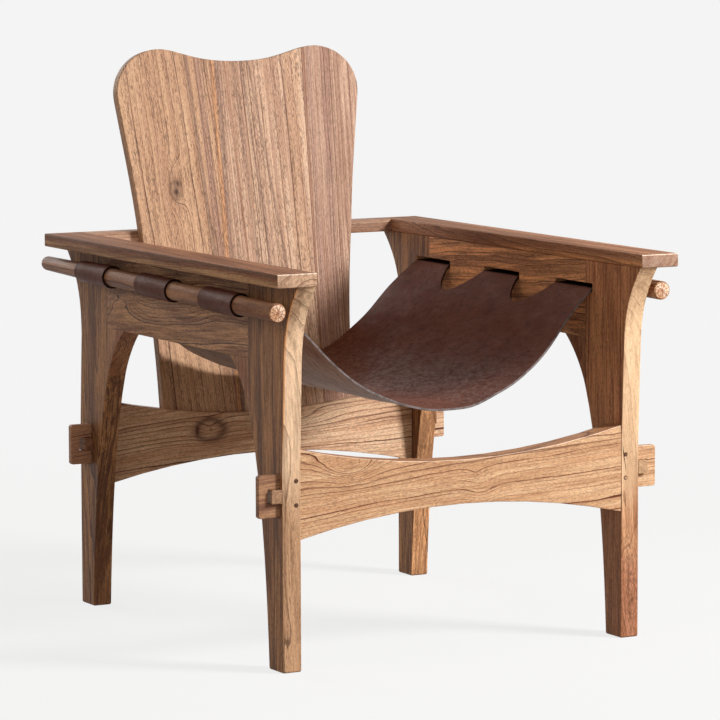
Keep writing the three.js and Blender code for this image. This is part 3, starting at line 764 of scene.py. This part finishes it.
amber_streak = [stripe(-0.0405, -0.0455, 0.0062, rust, 0.5), stripe(-0.0405, -0.0455, 0.0034, amber, 0.7)]
back_looks = {
    "left": dict(
        pith=(-0.29, 0.44, 0.5), ring=0.0038, warp=0.009, tilt=(0, 9.3, 127.6), lines=0.9, dashes=0.5,
        tones=(shade(211, 173, 139), shade(190, 149, 118), shade(194, 153, 124)),
        knots=[
            knot((-0.1225, 0.345, 0.6395), (0.016, 0.08, 0.02), dark=0.9),
            knot((-0.1235, 0.345, 0.642), (0.01, 0.08, 0.014), dark=0.35, hollow=1.0),
            knot((-0.127, 0.346, 0.655), (0.036, 0.08, 0.09), dark=0.2),
            knot((-0.126, 0.346, 0.65), (0.018, 0.08, 0.036), lift=0.026),
        ],
        stripes=[
            stripe(-0.062, -0.092, 0.0045, dusk, 0.6),
            stripe(-0.052, -0.072, 0.0075, plum, 0.5),
            stripe(-0.0565, -0.076, 0.0011, dusk, 0.6),
            stripe(-0.05, -0.064, 0.001, dusk, 0.6),
            *amber_streak,
        ],
    ),
    "middle": dict(
        pith=(0.3, 0.46, 0.4), ring=0.004, warp=0.006, tilt=(0, 7.9, 111), lines=0.7, dashes=0.55,
        tones=(shade(214, 181, 154), shade(187, 149, 123), shade(190, 153, 131)),
        stripes=[
            *amber_streak,
            stripe(-0.033, -0.037, 0.0052, dusk, 0.5),
            stripe(-0.004, -0.0245, 0.0022, rust, 0.5),
            stripe(0.012, -0.009, 0.003, dusk, 0.45),
            stripe(0.034, 0.006, 0.0022, dusk, 0.5),
            stripe(0.062, 0.018, 0.003, dusk, 0.5),
            stripe(0.094, 0.096, 0.015, ochre, 0.4),
        ],
    ),
    "right": dict(
        pith=(0.42, 0.4, 0.4), ring=0.0036, warp=0.006, tilt=(0, 7.4, 90), lines=0.7, dashes=0.25,
        tones=(shade(202, 168, 145), shade(170, 132, 110), shade(176, 138, 118)),
        knots=[knot((0.15, 0.347, 0.663), (0.014, 0.05, 0.06), lift=0.004, dark=0.28)],
        stripes=[
            stripe(0.1155, 0.1155, 0.0012, dusk, 0.8),
            stripe(0.117, 0.118, 0.0026, rust, 0.5),
            stripe(0.127, 0.129, 0.006, plum, 0.4),
            stripe(0.15, 0.158, 0.009, plum, 0.35),
        ],
    ),
}
for board, look in back_looks.items():
    material = timber(f"back_{board}_wood", "z", line=shade(84, 54, 38), **look)
    joints = [("x", place) for place in glue_lines]
    eased(f"back_board_{board}", material, back_arris, glued=joints)

# Rods
# Round rods outside the side frames, through the leather's loops. They lie slightly nose down, taper towards
# their rounded rear ends, and can be drawn out forwards.

rod_out, rod_front, rod_height = 0.321, -0.383, 0.523  # where the axis starts, at the front
rod_long, rod_rise, rod_radius = 0.79, 0.0085, 0.014
taper_long, tail_radius, tail_long = 0.24, 0.011, 0.0095
rod_tilt = np.arcsin(rod_rise / rod_long)
nose = [(0.0022, 0.0), (0.0007, 0.0006), (0.0, 0.0022)]  # the front end's ease, as (inwards, along)
profile = [(rod_radius - inwards, along) for inwards, along in nose]
profile += [(rod_radius, rod_long - taper_long), (tail_radius + 0.0001, rod_long - tail_long)]
# The rear end falls in by 4 mm (1 - cos a), and by 3.5 mm (sin a)^6 more near its tip.
quarter = np.linspace(0, np.pi / 2, 9)[1:]
tail = tail_radius - 0.004 * (1 - np.cos(quarter)) - 0.0035 * np.sin(quarter) ** 6
profile += zip(tail, rod_long - tail_long * (1 - np.sin(quarter)))
rod_piths = {"left": (-0.324, 0, 0.526), "right": (0.318, 0, 0.52)}
rod_tones = {
    "left": (shade(184, 138, 104), shade(136, 94, 68), shade(160, 116, 84)),
    "right": (shade(206, 164, 126), shade(164, 120, 88), shade(186, 140, 104)),
}
end_tones = shade(250, 230, 210), shade(220, 174, 134), shade(238, 206, 176)
cracks = {20: 0.001, 65: 0.0013, 98: 0.0008, 140: 0.0012, 168: 0.0007}  # half a crack's width by its angle


def crack(across, angle, half):
    """A radial crack in a rod's sawn end: a straight stripe through the rod's axis."""
    slope = np.radians(angle)
    middle = np.array([across * rod_out, rod_height])
    run = 0.01 * np.array([np.cos(slope), np.sin(slope)])
    return tuple(middle - run), tuple(middle + run), half, shade(160, 98, 58), 0.6


lean = [[1, 0, 0], [0, np.cos(rod_tilt), np.sin(rod_tilt)], [0, -np.sin(rod_tilt), np.cos(rod_tilt)]]
for side, across in sides.items():
    name = f"{side}_rod"
    figure = dict(line=shade(100, 58, 38), ring=0.0024, warp=0.006, lines=1.2, dashes=0.5)
    material = timber(name + "_wood", "y", rod_piths[side], rod_tones[side], **figure)
    figure = dict(line=shade(120, 66, 38), ring=0.0016, warp=0.006, lines=1.0, dashes=0.8)
    figure["stripes"] = [crack(across, angle, half) for angle, half in cracks.items()]
    end_grain = timber(name + "_end_grain", "y", rod_piths[side], end_tones, **figure)
    points, faces = turned(profile, 64)
    points = points @ np.array(lean) + [across * rod_out, rod_front, rod_height]
    rod = mesh_of(name + "_dowel", points, faces, [material, end_grain], second=(-2,))
    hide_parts(name)
    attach(rod, name)

# Leather sling
# One piece of thick saddle leather. Its six tabs go out through the slots and loop round the rods, and come
# back under themselves. Between the tabs the edge is cut in round arcs. The underside is raw.

leather, loop_gap, cut_ease = 0.0034, 0.0004, 0.0005  # its thickness, play round a rod and edge's ease
finished = 0.97  # the finished sheet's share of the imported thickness
slot_pitch, tab_half = 0.215, 0.0525  # from slot to slot, and half a tab
cut_half, cut_deep = 0.055, 0.039  # half a round cut's width, and its depth
sling_top, sag = 0.5191, 0.162  # the height at the slots, and how far the middle hangs below it
front_bow, rear_bow = 0.034, 0.021  # how far the front and rear edges bow out in the middle
sag_shares = np.array([0, 0.021, 0.11, 0.244, 0.463, 0.761, 1])  # the rise from the middle to the slot


def hang(x):
    """Height of the sheet's middle surface over x: smooth cubics through the sag shares at even steps,
    levelled out by a parabola where the sheet bends over the edge of its slot."""
    step = seat_half / 6
    share = np.concatenate([sag_shares[1:2], sag_shares, [2 * sag_shares[-1] - sag_shares[-2]]])
    slope = (share[2:] - share[:-2]) / 2
    x = np.abs(x)
    bend = 0.004
    inner = np.minimum(x, seat_half - bend)
    i = np.minimum((inner / step).astype(int), 5)
    u = inner / step - i
    low, high = sag_shares[i], sag_shares[i + 1]
    rise = low + (high - low) * u**2 * (3 - 2 * u)
    rise = rise + slope[i] * u * (1 - u) ** 2 - slope[i + 1] * u**2 * (1 - u)
    height = sling_top - sag * (1 - rise)
    steep = sag * (sag_shares[6] - sag_shares[5]) / step
    past = np.clip(x - (seat_half - bend), 0, 2 * bend)
    return height + steep * (past - past**2 / (4 * bend))


def cut_curve():
    """One round cut, as shares (depth, place along the edge): a cubic curve and its mirror image."""
    share = np.linspace(0, 1, 25)[:, None]
    corners = np.array([[0, -1], [0.52, -0.81], [1, -0.4], [1, 0]])
    bend = sum(k * (1 - share) ** (3 - i) * share**i * corners[i] for i, k in enumerate([1, 3, 3, 1]))
    return np.concatenate([bend, (bend * [1, -1])[::-1][1:]])[1:-1]


def sheet_rows():
    """The sheet's rows from front to rear: each one's place, half its width, and the rows of each tab."""
    tab = np.linspace(-tab_half, tab_half, 25)
    place, half, tabs = [], [], []
    for centre in (-slot_pitch, 0, slot_pitch):
        if place:
            place += (centre - slot_pitch / 2 + cut_curve()[:, 1] * cut_half).tolist()
            half += (seat_half - cut_curve()[:, 0] * cut_deep).tolist()
        tabs.append(np.arange(len(place), len(place) + len(tab)))
        place += (centre + tab).tolist()
        half += [seat_half] * len(tab)
    return np.array(place), np.array(half), tabs


def sheet_body(row_place, row_half):
    """The seat's middle surface, a grid of rows from left to right. It hangs by hang(x), its front and rear
    edges bow outwards as parabolas, and slow waves of a millimetre die out before the slots."""
    even = np.linspace(-1, 1, 161)[None]
    reach = 0.72 * even + 0.28 * np.sin(even * np.pi / 2)
    x = reach * row_half[:, None]
    edge = slot_pitch + tab_half
    toward_front = np.clip(-row_place / edge, 0, 1) ** 1.5
    toward_rear = np.clip(row_place / edge, 0, 1) ** 1.5
    bow = rear_bow * toward_rear - front_bow * toward_front
    y = row_place[:, None] + (1 - reach**2) * bow[:, None]
    wave = 0.0011 * np.sin(9 * x + 21 * y + 1.0) * np.sin(31 * x - 13 * y)
    wave += 0.0006 * np.sin(46 * x + 33 * y + 2.0) * np.sin(24 * y - 52 * x + 0.6)
    wave *= np.clip((0.245 - np.abs(x)) / 0.08, 0, 1)
    return np.stack([x, y, hang(x) + wave], -1)


def loop(y, side):
    """A tab's middle line from the slot's inner edge: out through the slot, on a tangent to the loop, round
    the rod, and back below on the other tangent. y gives one line per row."""
    along = y - rod_front
    centre = np.stack([np.full_like(y, rod_out), rod_height + along * np.tan(rod_tilt)], -1)
    thin = np.clip(along - (rod_long - taper_long), 0, None) / taper_long
    radius = rod_radius - (rod_radius - tail_radius) * thin + loop_gap + leather / 2
    outside = seat_half + plank
    heights = (sling_top, sling_top - leather)
    touches = []
    for height, turn in zip(heights, (-1, 1)):
        away = np.array([outside, height]) - centre
        spread = np.arccos(radius / np.linalg.norm(away, axis=-1))
        touches.append(np.arctan2(away[:, 1], away[:, 0]) + turn * spread)
    first = np.where(touches[0] < 0, touches[0] + 2 * np.pi, touches[0])
    last = np.where(touches[1] > 0, touches[1] - 2 * np.pi, touches[1])
    turn = first[:, None] + (last - first)[:, None] * np.linspace(0, 1, 49)
    arc = centre[:, None] + radius[:, None, None] * np.stack([np.cos(turn), np.sin(turn)], -1)
    out = np.stack([np.linspace(seat_half, outside, 13), np.full(13, heights[0])], -1)
    out[:, 1] = hang(out[:, 0])
    back = np.stack([np.linspace(outside, seat_half + leather, 9), np.full(9, heights[1])], -1)
    out, back = (np.broadcast_to(run, (len(y),) + run.shape) for run in (out, back))
    lead = np.linspace(0, 1, 8)[None, 1:-1, None]
    up = out[:, -1:] + (arc[:, :1] - out[:, -1:]) * lead
    down = arc[:, -1:] + (back[:, :1] - arc[:, -1:]) * lead
    line = np.concatenate([out[:, 1:], up, arc, down, back], 1)
    # Six passes of averaging round the corners off.
    for _ in range(6):
        line[:, 1:-1] = (line[:, :-2] + 2 * line[:, 1:-1] + line[:, 2:]) / 4
    return np.stack([side * line[..., 0], np.broadcast_to(y[:, None], line.shape[:2]), line[..., 1]], -1)


def stepped(points):
    """How far each point of every row lies from the one before it."""
    return np.linalg.norm(np.diff(points, axis=1), axis=2)


row_place, row_half, tab_rows = sheet_rows()
body = sheet_body(row_place, row_half)
rows, columns = body.shape[:2]
travel = np.concatenate([np.zeros((rows, 1)), np.cumsum(stepped(body), 1)], 1)
travel -= travel[:, columns // 2 : columns // 2 + 1]
points, faces = [body.reshape(-1, 3)], [grid_faces(rows, columns)]
flat_place = [np.stack([travel, body[..., 1]], -1).reshape(-1, 2)]
count = rows * columns
for picked in tab_rows:
    for side in (-1, 1):
        line = loop(row_place[picked], side)
        rim = columns - 1 if side > 0 else 0
        fresh = count + np.arange(line.shape[0] * line.shape[1]).reshape(line.shape[:2])
        index = np.concatenate([(picked * columns + rim)[:, None], fresh], 1)
        quads = index.ravel()[grid_faces(*index.shape)]
        faces.append(quads if side > 0 else quads[:, ::-1])
        points.append(line.reshape(-1, 3))
        rooted = np.concatenate([body[picked, rim][:, None], line], 1)
        run = np.cumsum(stepped(rooted), 1) + np.abs(travel[picked, -1:])
        flat_place.append(np.stack([side * run, line[..., 1]], -1).reshape(-1, 2))
        count += fresh.size
points, faces, flat_place = np.concatenate(points), np.concatenate(faces), np.concatenate(flat_place)


def hide(name, tones, share, roughness, streak, grain, relief, pale_edge=None):
    """Leather: three tones mottled by clouds and streaks over the flat sheet, with pebbles (grain to the
    metre), wrinkles and long faint creases. Streak above 1 draws the pattern out along the sheet's width, and
    below 1 from front to rear. It is rubbed shiny low in the seat. Inside the slots and on the loops it is
    darkened by painted shade. A pale edge runs along the seat's front and rear."""
    skin = Surface(name)
    skin.over = skin.node("UVMap", {"uv_map": "flat"})
    first, second, third = tones

    def darkened(share):
        return tuple(share * c for c in first)

    clouds = skin.noise((7, 9, 1), 5, 0.6)
    drawn = skin.noise((38, 38 * streak, 1), 5, 0.7)
    pebbles = skin.noise((grain, grain, 1), 2, 0.55)
    wrinkles = skin.noise((110, 110 * streak, 1), 4, 0.65)
    worn = skin.noise((240, 120, 1), 3, 0.6)
    crease = skin.band(abs(skin.noise((11, 17, 1), 3) - 0.5), 0.0, 0.01, 1.0, 0.0)
    crease = crease * skin.band(clouds, 0.45, 0.6)
    aside = abs(skin.part(skin.place, "x"))
    slot_shade = skin.band(aside, 0.2675, 0.271) * skin.band(aside, 0.303, 0.3005)

    colour = skin.mix(skin.band(clouds, 0.35, 0.65), first, second)
    colour = skin.mix(skin.band(drawn, 0.46, 0.7) * share, colour, third)
    colour = skin.mix(skin.band(wrinkles, 0.5, 0.35) * 0.5, colour, darkened(0.5))
    colour = skin.mix(skin.band(pebbles, 0.5, 0.75) * 0.25, colour, first)
    colour = skin.mix(crease * 0.4, colour, darkened(0.4))
    # Nearly black inside the slots: painted shade.
    colour = skin.mix(slot_shade, colour, darkened(0.05))
    # Darker on the loops: painted shade.
    colour = skin.mix(skin.band(aside, 0.3, 0.306) * 0.35, colour, darkened(0.45))
    if pale_edge:
        across, along = (abs(skin.part(skin.over, axis)) for axis in "xy")
        # Paler along the seat's front and rear edges.
        pale_strip = skin.band(across, 0.34, 0.32) * skin.band(along, 0.235, 0.25)
        colour = skin.mix(pale_strip * skin.band(wrinkles, 0.3, 0.6, 0.45, 1.0), colour, pale_edge)

    shine = skin.band(aside, 0.22, 0.05) * skin.band(worn * 0.6 + wrinkles * 0.4, 0.44, 0.62, 0.04, 0.5)
    height = drawn * 0.7 + wrinkles * 0.6 + pebbles * 0.2 - crease * 0.3
    bumps = skin.node("Bump", {}, {"Strength": relief, "Distance": 0.0022, "Height": height})
    dull = skin.band(drawn * 0.6 + clouds * 0.4, 0.35, 0.65, roughness, roughness - 0.14)
    look = {"Base Color": colour, "Roughness": dull, "Specular IOR Level": 0.04, "Normal": bumps}
    skin.feed(skin.shader, {**look, "Coat Weight": shine, "Coat Roughness": 0.32})
    return skin.owner


face_tones = shade(98, 56, 42), shade(112, 66, 51), shade(133, 89, 73)
under_tones = shade(172, 150, 144), shade(206, 186, 182), shade(98, 74, 70)
# Near-black cut edges: partly the dyed edge, partly painted shade for the dark gap round each loop's end.
dyed_edge_and_shade_tones = shade(30, 21, 18), shade(40, 28, 24), shade(52, 38, 34)
hair_side = hide("leather_face", face_tones, 0.35, 0.5, 0.5, 900, 0.9)
flesh_side = hide("leather_underside", under_tones, 0.8, 0.85, 5.0, 1400, 0.5)
cut_edge = hide("leather_cut_edge", dyed_edge_and_shade_tones, 0.5, 0.6, 3.0, 1600, 0.3, pale_edge=shade(122, 114, 114))
sling = mesh_of("leather_seat", points, faces, [hair_side, flesh_side, cut_edge], arrises=False)
flat_map = sling.data.uv_layers.new(name="flat")
order = np.empty(len(sling.data.loops), int)
sling.data.loops.foreach_get("vertex_index", order)
flat_map.data.foreach_set("uv", flat_place[order].ravel())
thick = sling.modifiers.new("thickness", "SOLIDIFY")
thick.thickness, thick.offset, thick.use_even_offset = leather * finished, 0.0, False
thick.material_offset, thick.material_offset_rim = 1, 2
edge_ease = sling.modifiers.new("edge", "BEVEL")
edge_ease.width, edge_ease.segments = cut_ease, 2
edge_ease.limit_method, edge_ease.angle_limit = "ANGLE", np.radians(60)
edge_ease.use_clamp_overlap, edge_ease.harden_normals = False, True
corners = points[faces]
doubled = np.cross(corners[:, 2] - corners[:, 0], corners[:, 3] - corners[:, 1])
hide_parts("leather_sling")
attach(sling, "frame")
